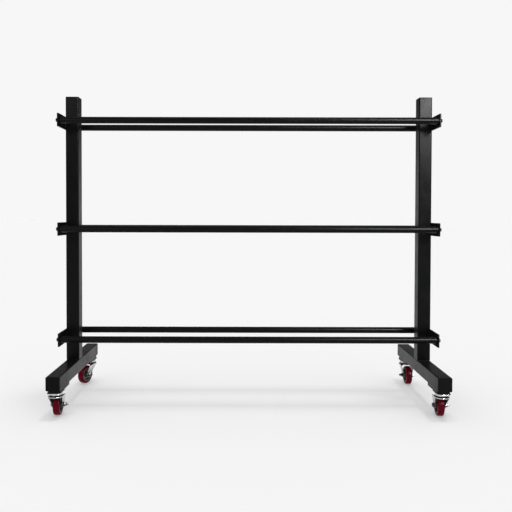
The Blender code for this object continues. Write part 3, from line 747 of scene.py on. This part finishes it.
def cap_solid(width):
    """A cap whose flange sits just above the origin and whose hollow plug points down Z."""
    half = width / 2
    bm = block((-half, -half, CAP_GAP), (half, half, CAP_GAP + CAP_FLANGE))
    round_edges(bm, edges_along(bm, AXIS_Z), TUBE_CORNER, CORNER_STEPS)
    top = max(bm.faces, key=lambda face: face.calc_center_median().z)
    round_edges(bm, list(top.edges), CAP_RIM, CAP_RIM_STEPS)
    under = min(bm.faces, key=lambda face: face.calc_center_median().z)
    bmesh.ops.inset_region(bm, faces=[under], thickness=TUBE_WALL + CAP_GAP, use_even_offset=True)
    plug = bmesh.ops.extrude_discrete_faces(bm, faces=[under])["faces"][0]
    bmesh.ops.translate(bm, verts=plug.verts, vec=(0, 0, -PLUG_DEPTH))
    bmesh.ops.inset_region(bm, faces=[plug], thickness=PLUG_WALL, use_even_offset=True)
    floor_face = bmesh.ops.extrude_discrete_faces(bm, faces=[plug])["faces"][0]
    bmesh.ops.translate(bm, verts=floor_face.verts, vec=(0, 0, PLUG_DEPTH - PLUG_WALL))
    return bm


def add_cap(tube_end, width, seat):
    cap = moved(cap_solid(width), seat)
    add_piece(cap, f"{tube_end}_end_cap", CAP_PLASTIC, "rack", [f"{tube_end}_cap"])


for side in SIDES:
    low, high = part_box(f"{side}_upright")
    width = high.x - low.x
    centre = (low + high) / 2
    add_cap(f"{side}_upright", width, Matrix.Translation((centre.x, centre.y, high.z)))
    low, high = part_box(f"{side}_foot")
    middle_z = high.z - width / 2
    for end, y, turn in zip(ENDS, (low.y, high.y), (90, -90)):
        seat = Matrix.Translation((centre.x, y, middle_z)) @ Matrix.Rotation(math.radians(turn), 4, "X")
        add_cap(f"{side}_foot_{end}", width, seat)
print("Six caps close the tubes")

# %% [markdown]
# ## Rails
# What the rack carries rests on pairs of round tubes. Each is spun from an outline with chamfered ends,
# because a sawn tube is deburred before it is painted. The side plates hide its ends, so it needs no bore.
# Sixty-four sides keep its outline and the long highlight along its top smooth.

# %% Draw the rails
RAIL_STEPS = 64
RAIL_CHAMFER = 0.0005


def round_rail(low, high):
    """A round bar along X between two corners of its box."""
    radius = (high.z - low.z) / 2
    half = (high.x - low.x) / 2
    inner = radius - RAIL_CHAMFER
    outline = [
        (0, -half), (inner, -half), (radius, -half + RAIL_CHAMFER),
        (radius, half - RAIL_CHAMFER), (inner, half), (0, half),
    ]
    return moved(spun(outline, RAIL_STEPS, closed=False), Matrix.Translation((low + high) / 2) @ LIE_ALONG_X)


for tier in TIERS:
    for end in ENDS:
        low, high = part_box(f"{tier}_{end}_rail")
        add_coated(round_rail(low, high), f"{tier}_{end}_round_rail", [f"{tier}_{end}_rail"])

# %% [markdown]
# ## Side plates and their bolts
# Each tier hangs on two flat plates that are welded to the outer faces of the uprights. They are cut as the
# pads are, from 5 mm strip. A flanged bolt goes through the plate into each rail end.

# %% Cut the side plates
PLATE_CORNER = 0.003

for tier in TIERS:
    for side in SIDES:
        node = f"{tier}_{side}_plate"
        low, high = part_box(node)
        add_coated(cut_plate(low, high, AXIS_X, PLATE_CORNER), f"{tier}_{side}_side_plate", [node])

# %% Turn the flanged bolts
BOLT_ACROSS_FLATS = 0.013
BOLT_FLANGE = 0.0015
BOLT_HEAD = 0.0065
FLANGE_SLOPE = 0.0004    # how much thinner the flange is at its rim, and how much thicker in its middle
FLANGE_TOP_RADIUS = 0.0062
FLANGE_STEPS = 40
FLANGE_EDGE = 0.0002
FLANGE_ANGLE = 40        # the flange's edges that bend more than this are rounded


def flanged_bolt_head(flange_radius):
    """A hexagon head on a sloping round flange, above the origin."""
    rim_z = BOLT_FLANGE - FLANGE_SLOPE
    middle_z = BOLT_FLANGE + FLANGE_SLOPE
    flange = spun([
        (0, 0), (flange_radius, 0), (flange_radius, rim_z), (FLANGE_TOP_RADIUS, middle_z), (0, middle_z),
    ], FLANGE_STEPS, closed=False)
    soften(flange, FLANGE_EDGE, angle=FLANGE_ANGLE)
    return gathered([flange, hexagon(BOLT_ACROSS_FLATS, rim_z, BOLT_FLANGE + BOLT_HEAD)])


for tier in TIERS:
    for end in ENDS:
        for side, turn in zip(SIDES, (-90, 90)):
            node = f"{tier}_{end}_{side}_rail_bolt"
            low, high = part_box(node)
            if side == "right":
                face_x = high.x - BOLT_HEAD - BOLT_FLANGE
            else:
                face_x = low.x + BOLT_HEAD + BOLT_FLANGE
            centre = (low + high) / 2
            turned = Matrix.Rotation(math.radians(turn), 4, "Y")
            seat = Matrix.Translation((face_x, centre.y, centre.z)) @ turned
            head = moved(flanged_bolt_head((high.z - low.z) / 2), seat)
            add_piece(head, f"{tier}_{end}_{side}_flange_bolt", BLACK_OXIDE, "rack", [node])
print("Twelve bolts hold the rails")

# %% [markdown]
# ## Caster plates
# A caster hangs from a pressed steel plate with rounded corners. Four bolts hold it to the pad. Under it sits
# a round cup that holds the swivel's balls, and through its middle runs the riveted kingpin. Everything
# that is round is spun from an outline. Heights are measured from the plate's upper face.

# %% Press the caster plates
CASTERS = [f"{end}_{side}" for end in ENDS for side in SIDES]
PLATE_SHEET = 0.003
CASTER_CORNER = 0.014
CASTER_CORNER_STEPS = 8
PRESSED_EDGE = 0.0006
CUP_RADIUS = 0.0235
CUP_WALL = 0.002
CUP_TOP = -0.002         # inside the sheet
CUP_SHOULDER = -0.004
CUP_ROOF = -0.006        # the top of its hollow
CUP_LIP = -0.0104        # and its lower edge
CUP_STEPS = 48
PIN_RADIUS = 0.006
PIN_HEAD_RADIUS = 0.010
PIN_HEAD = 0.0015
PIN_SHOULDER_RADIUS = 0.0094
PIN_SHOULDER = 0.0003    # how far the head's shoulder lies above its end
PIN_TIP_RADIUS = 0.007
PIN_STEPS = 32
CROWN_TOP = -0.0111      # the crown of the fork lies between these two heights
CROWN_UNDER = -0.0139
CASTER_BOLT_WIDE = 0.030
CASTER_BOLT_LONG = 0.052
CASTER_BOLT_FLATS = 0.010
CASTER_BOLT_HEAD = 0.004
CASTER_BOLT_SINK = 0.0005


def caster_top_plate(low, high):
    """The top plate between two corners, with its swivel cup, kingpin and four bolt heads."""
    centre = (low + high) / 2
    top = high.z
    sheet = block((low.x, low.y, top - PLATE_SHEET), high)
    round_edges(sheet, edges_along(sheet, AXIS_Z), CASTER_CORNER, CASTER_CORNER_STEPS)
    soften(sheet, PRESSED_EDGE, segments=3)
    hollow = CUP_RADIUS - CUP_WALL
    cup = spun([
        (0, CUP_TOP), (hollow, CUP_TOP), (CUP_RADIUS, CUP_SHOULDER), (CUP_RADIUS, CUP_LIP), (hollow, CUP_LIP),
        (hollow, CUP_ROOF), (0, CUP_ROOF),
    ], CUP_STEPS, closed=False)
    soften(cup, PRESSED_EDGE, segments=3, angle=30)
    pin_end = CROWN_UNDER - PIN_HEAD
    pin = spun([
        (0, CUP_SHOULDER), (PIN_RADIUS, CUP_SHOULDER), (PIN_RADIUS, CROWN_UNDER),
        (PIN_HEAD_RADIUS, CROWN_UNDER), (PIN_SHOULDER_RADIUS, pin_end + PIN_SHOULDER),
        (PIN_TIP_RADIUS, pin_end), (0, pin_end),
    ], PIN_STEPS, closed=False)
    seat = Matrix.Translation((centre.x, centre.y, top))
    parts = [sheet, moved(cup, seat), moved(pin, seat)]
    for x in (-CASTER_BOLT_WIDE / 2, CASTER_BOLT_WIDE / 2):
        for y in (-CASTER_BOLT_LONG / 2, CASTER_BOLT_LONG / 2):
            bolt = hexagon(CASTER_BOLT_FLATS, -CASTER_BOLT_SINK, CASTER_BOLT_HEAD)
            parts.append(moved(bolt, seat @ Matrix.Translation((x, y, -PLATE_SHEET)) @ UPSIDE_DOWN))
    return gathered(parts)


for corner in CASTERS:
    node = f"{corner}_caster_plate"
    low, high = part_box(node)
    high.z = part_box(f"{corner}_fork")[1].z - CROWN_TOP
    add_piece(caster_top_plate(low, high), f"{corner}_top_plate", ZINC, "rack", [node])

# %% [markdown]
# ## Swivel balls
# The fork turns on a ring of hardened balls in grease. Only a glint of them shows through the gap under the
# cup. Small icospheres with few faces are enough.

# %% Pack the balls
BALL_RADIUS = 0.00225
BALL_CIRCLE = 0.0165
BALLS = 22


def ball_race(centre):
    bm = bmesh.new()
    for index in range(BALLS):
        turn = Matrix.Rotation(math.tau * index / BALLS, 4, "Z")
        place = Matrix.Translation(centre) @ (turn @ Matrix.Translation((BALL_CIRCLE, 0, 0)))
        bmesh.ops.create_icosphere(bm, subdivisions=2, radius=BALL_RADIUS, matrix=place)
    return bm


for corner in CASTERS:
    node = f"{corner}_ball_ring"
    low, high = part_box(node)
    balls = ball_race((low + high) / 2)
    add_piece(balls, f"{corner}_swivel_balls", BALL_STEEL, "rack", [node], ALL_SMOOTH)
print(BALLS, "balls in each swivel")

# %% [markdown]
# ## Forks
# A fork is pressed from one sheet of 2.5 mm steel: a round crown that flows into two legs. It is made the
# same way, as one thin sheet. The crown is spun from an open outline, the two side arcs of its rim are
# extruded down row by row while they flatten into legs, and modifiers make the sheet thick and smooth.

# %% Press the forks
FORK_SHEET = 0.0025
CROWN_STEPS = 48
CROWN_RADIUS = 0.028
CROWN_RING_Z = -0.0151   # the height of the crown's rim
SKIRT_Z = -0.0181        # and of the lower edge of the skirt round it
TRAIL = 0.033            # how far the axle lies behind the swivel's axis
AXLE_DROP = 0.057        # and below the top plate's face
BOSS_RADIUS = 0.012      # of the leg's round end
LEG_OUT = 0.020          # how far the leg's outer face lies from the middle
LEG_FLARE = 0.0075       # and how much farther at the crown
LEG_BEND_Z = -0.044
LEG_TOP = {-1: -0.011, 1: 0.0350}     # how far the leg's top reaches forward and back
LEG_ARC = 0.70           # the legs grow from the parts of the rim beyond this share of its radius
ARCH_RADIUS = 0.041      # the skirt's rear edge clears the wheel by an arch of this radius
ARCH_HALF = 0.019        # and of this half width
FORK_CREASE = 0.7
FORK_SMOOTHING = 2
CROWN_OUTLINE = [
    (0.0063, CROWN_TOP), (0.0150, CROWN_TOP), (0.0190, -0.0113), (0.0225, -0.0124), (0.0258, -0.0136),
    (0.0275, CROWN_RING_Z + 0.0004), (CROWN_RADIUS, CROWN_RING_Z - 0.0006),
]
STRAIGHT_ROWS = (0.12, 0.27, 0.43, 0.59, 0.72, 0.86)     # shares of the way from the skirt to the boss
BOSS_ROWS = (-20, 0, 20, 38, 54, 68, 80)                 # and degrees downwards round the boss


def boss_tangent(way):
    """Where the leg's front (-1) or rear (1) edge touches the round boss: (y, z)."""
    reach = Vector((LEG_TOP[way], SKIRT_Z)) - Vector((TRAIL, -AXLE_DROP))
    angle = math.atan2(reach.y, reach.x) - way * math.acos(BOSS_RADIUS / reach.length)
    return TRAIL + BOSS_RADIUS * math.cos(angle), -AXLE_DROP + BOSS_RADIUS * math.sin(angle)


def leg_edge(way, z):
    """How far forward or back the leg reaches at a height."""
    touch_y, touch_z = boss_tangent(way)
    if z > touch_z:
        share = (SKIRT_Z - z) / (SKIRT_Z - touch_z)
        return LEG_TOP[way] + share * (touch_y - LEG_TOP[way])
    drop = min(1.0, abs(z + AXLE_DROP) / BOSS_RADIUS)
    return TRAIL + way * BOSS_RADIUS * math.sqrt(1 - drop * drop)


def leg_plane(z):
    """The leg's outer face, in from the side: upright at the axle and leaning out above its bend."""
    return LEG_OUT + LEG_FLARE * max(0.0, z - LEG_BEND_Z) / (CROWN_RING_Z - LEG_BEND_Z)


def extrude_rim(bm, edges, z):
    """Extrude edges of the rim to a height, and give the new edges and their corners."""
    made = bmesh.ops.extrude_edge_only(bm, edges=edges)["geom"]
    verts = {item for item in made if isinstance(item, bmesh.types.BMVert)}
    for vert in verts:
        vert.co.z = z
    lines = [item for item in made if isinstance(item, bmesh.types.BMEdge)]
    return [line for line in lines if all(vert in verts for vert in line.verts)], verts


def spread_row(verts, side, z):
    """Lay a row of corners evenly from the leg's front edge to its rear edge, in the leg's plane."""
    order = sorted(verts, key=lambda vert: vert.co.y)
    front, rear = leg_edge(-1, z), leg_edge(1, z)
    for index, vert in enumerate(order):
        vert.co = (side * leg_plane(z), front + index / (len(order) - 1) * (rear - front), z)


def fork_sheet():
    """The fork's outer surface, with the swivel's axis on Z, the top plate's face at 0 and the axle at +Y."""
    bm = spun(CROWN_OUTLINE, CROWN_STEPS, closed=False)
    rim = [edge for edge in bm.edges if edge.is_boundary and edge.verts[0].co.z < CROWN_RING_Z]
    rim, verts = extrude_rim(bm, rim, SKIRT_Z)
    for vert in verts:
        if vert.co.y > 0 and abs(vert.co.x) < ARCH_HALF:
            arch_z = math.sqrt(ARCH_RADIUS ** 2 - (vert.co.y - TRAIL) ** 2) - AXLE_DROP
            vert.co.z = max(SKIRT_Z, arch_z)
    boss_rows = [-AXLE_DROP - BOSS_RADIUS * math.sin(math.radians(angle)) for angle in BOSS_ROWS]
    straight_rows = [SKIRT_Z + share * (boss_rows[0] - SKIRT_Z) for share in STRAIGHT_ROWS]
    for side in (-1, 1):
        row = [edge for edge in rim if all(side * vert.co.x > LEG_ARC * CROWN_RADIUS for vert in edge.verts)]
        spread_row({vert for edge in row for vert in edge.verts}, side, SKIRT_Z)
        for z in straight_rows + boss_rows:
            row, verts = extrude_rim(bm, row, z)
            spread_row(verts, side, z)
    bmesh.ops.recalc_face_normals(bm, faces=bm.faces)
    return bm


def caster_seat(corner):
    """The matrix that puts a caster's parts, made with the swivel axis on Z, in their place at rest."""
    swivel = next(joint for joint in frame["joints"] if joint["name"] == f"{corner}_swivel")
    roll = next(joint for joint in frame["joints"] if joint["name"] == f"{corner}_roll")
    yaw = math.atan2(roll["axis"][1], roll["axis"][0])
    return Matrix.Translation(swivel["pos_m"]) @ Matrix.Rotation(yaw, 4, "Z")


for corner in CASTERS:
    sheet = moved(fork_sheet(), caster_seat(corner))
    body = f"{corner}_swivel_fork"
    fork = add_piece(sheet, f"{corner}_pressed_fork", ZINC, body, [f"{corner}_fork"], ALL_SMOOTH)
    fork.modifiers.clear()
    wall = fork.modifiers.new("sheet", "SOLIDIFY")
    wall.thickness = FORK_SHEET
    wall.offset = -1
    wall.edge_crease_rim = wall.edge_crease_inner = wall.edge_crease_outer = FORK_CREASE
    smooth = fork.modifiers.new("pressed", "SUBSURF")
    smooth.levels = smooth.render_levels = FORK_SMOOTHING
    turn = math.degrees(caster_seat(corner).to_euler().z)
    print(fork.name, "is turned by", round(turn), "degrees from straight back")

# %% [markdown]
# ## Axles
# A hexagon bolt runs through the legs and the wheel, with a locking nut on its far end. The plain sleeve
# between the legs carries the wheel. All of it is spun or is a hexagon, along Z, and then laid along X.

# %% Fit the axles
LEG_IN = LEG_OUT - FORK_SHEET
SLEEVE_RADIUS = 0.0058
AXLE_RADIUS = 0.004
AXLE_ACROSS_FLATS = 0.013
AXLE_HEAD = 0.0055
AXLE_NUT = 0.009
AXLE_END = 0.006
SHANK_SINK = 0.002       # how far the shank reaches into the head
TIP_CHAMFER = 0.0005
HEAD_CHAMFER = 0.0013
NUT_CHAMFER = 0.0008
NUT_FLATS = 0.7          # the share of the nut that is a hexagon
COLLAR_START = 0.6       # and where its round collar begins, inside the hexagon
COLLAR_RADII = (0.0060, 0.0058, 0.0050)
TOUCH_GAP = 0.0003       # between pieces that are clamped or pressed together
TURNED_AXLES = ("rear_left",)      # axle bolts that went in from the other side


def axle_bolt():
    """The axle along Z, before it is laid down: head below, nut above and the sleeve between."""
    seat = LEG_OUT + TOUCH_GAP
    inside = LEG_IN - TOUCH_GAP
    nut_top = seat + AXLE_NUT
    tip = nut_top + AXLE_END
    shank = spun([
        (0, -seat - SHANK_SINK), (AXLE_RADIUS, -seat - SHANK_SINK), (AXLE_RADIUS, -inside),
        (SLEEVE_RADIUS, -inside), (SLEEVE_RADIUS, inside), (AXLE_RADIUS, inside),
        (AXLE_RADIUS, tip - TIP_CHAMFER), (AXLE_RADIUS - TIP_CHAMFER, tip), (0, tip),
    ], PIN_STEPS, closed=False)
    head = moved(hexagon(AXLE_ACROSS_FLATS, seat, seat + AXLE_HEAD, HEAD_CHAMFER), UPSIDE_DOWN)
    nut = hexagon(AXLE_ACROSS_FLATS, seat, seat + NUT_FLATS * AXLE_NUT, NUT_CHAMFER)
    collar_z = seat + COLLAR_START * AXLE_NUT
    wide, shoulder, mouth = COLLAR_RADII
    collar = spun([
        (AXLE_RADIUS, collar_z), (wide, collar_z), (shoulder, nut_top - NUT_CHAMFER), (mouth, nut_top),
        (AXLE_RADIUS, nut_top),
    ], PIN_STEPS)
    return moved(gathered([shank, head, nut, collar]), LIE_ALONG_X)


WHEEL_CENTRE = Matrix.Translation((0, TRAIL, -AXLE_DROP))
for corner in CASTERS:
    end_to_end = Matrix.Rotation(math.pi if corner in TURNED_AXLES else 0, 4, "Z")
    seat = caster_seat(corner) @ WHEEL_CENTRE @ end_to_end
    axle = moved(axle_bolt(), seat)
    add_piece(axle, f"{corner}_axle_bolt", ZINC, f"{corner}_swivel_fork", [f"{corner}_axle"])

# %% [markdown]
# ## Wheels
# A wheel has a moulded nylon core and a tread of red polyurethane cast round it. Both are spun from an
# outline. The tread's edges are rounded and its face is very slightly domed, as a cast tread's is.

# %% Cast the wheels
WHEEL_RADIUS = 0.0375
WHEEL_HALF = 0.012       # half the tread's width
WHEEL_STEPS = 96
TREAD = 0.009            # the tread's thickness
TREAD_EDGE = 0.005       # the radius of its rounded edges
TREAD_EDGE_STEPS = 6
TREAD_DOME = 0.0002      # how much higher its middle is than where the edges begin
TREAD_MIDDLE = 0.003     # and half the width of that middle
CORE_EDGE = 0.0007
CORE_RIM = 0.003
RIM_HALF = 0.011
WEB_HALF = 0.0035
HUB_RADIUS = 0.011
HUB_HALF = 0.016
HUB_BORE = 0.0061


def tread_ring():
    """The tread. Its outline goes round one edge, over the middle and round the other edge."""
    bore = WHEEL_RADIUS - TREAD
    outline = [(bore, -WHEEL_HALF)]
    for way, first_angle in ((-1, 180), (1, 90)):
        for step in range(TREAD_EDGE_STEPS + 1):
            turn = math.radians(first_angle - 90 * step / TREAD_EDGE_STEPS)
            height = way * (WHEEL_HALF - TREAD_EDGE) + TREAD_EDGE * math.cos(turn)
            radius = WHEEL_RADIUS - TREAD_DOME - TREAD_EDGE + TREAD_EDGE * math.sin(turn)
            outline.append((radius, height))
        if way < 0:
            outline += [(WHEEL_RADIUS, -TREAD_MIDDLE), (WHEEL_RADIUS, TREAD_MIDDLE)]
    outline.append((bore, WHEEL_HALF))
    return moved(spun(outline, WHEEL_STEPS), LIE_ALONG_X)


def wheel_core():
    """The core. The first half of its outline is mirrored, and its bore closes it."""
    rim = WHEEL_RADIUS - TREAD - TOUCH_GAP
    inner = rim - CORE_RIM
    outline = [(HUB_RADIUS, -HUB_HALF), (HUB_RADIUS, -WEB_HALF), (inner, -WEB_HALF)]
    outline += [(inner, -RIM_HALF), (rim, -RIM_HALF)]
    outline += [(radius, -height) for radius, height in reversed(outline)]
    outline += [(HUB_BORE, HUB_HALF), (HUB_BORE, -HUB_HALF)]
    bm = spun(outline, WHEEL_STEPS)
    soften(bm, CORE_EDGE, segments=3)
    return moved(bm, LIE_ALONG_X)


for corner in CASTERS:
    seat = caster_seat(corner) @ WHEEL_CENTRE
    body = f"{corner}_wheel"
    tread = moved(tread_ring(), seat)
    add_piece(tread, f"{corner}_tread", TREAD_RUBBER, body, [f"{corner}_tyre"])
    core = moved(wheel_core(), seat)
    add_piece(core, f"{corner}_moulded_core", CORE_NYLON, body, [f"{corner}_wheel_core"])

# %% [markdown]
# ## Last step
# The box of the dressed rack is measured.

# %% Measure the dressed rack
low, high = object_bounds()
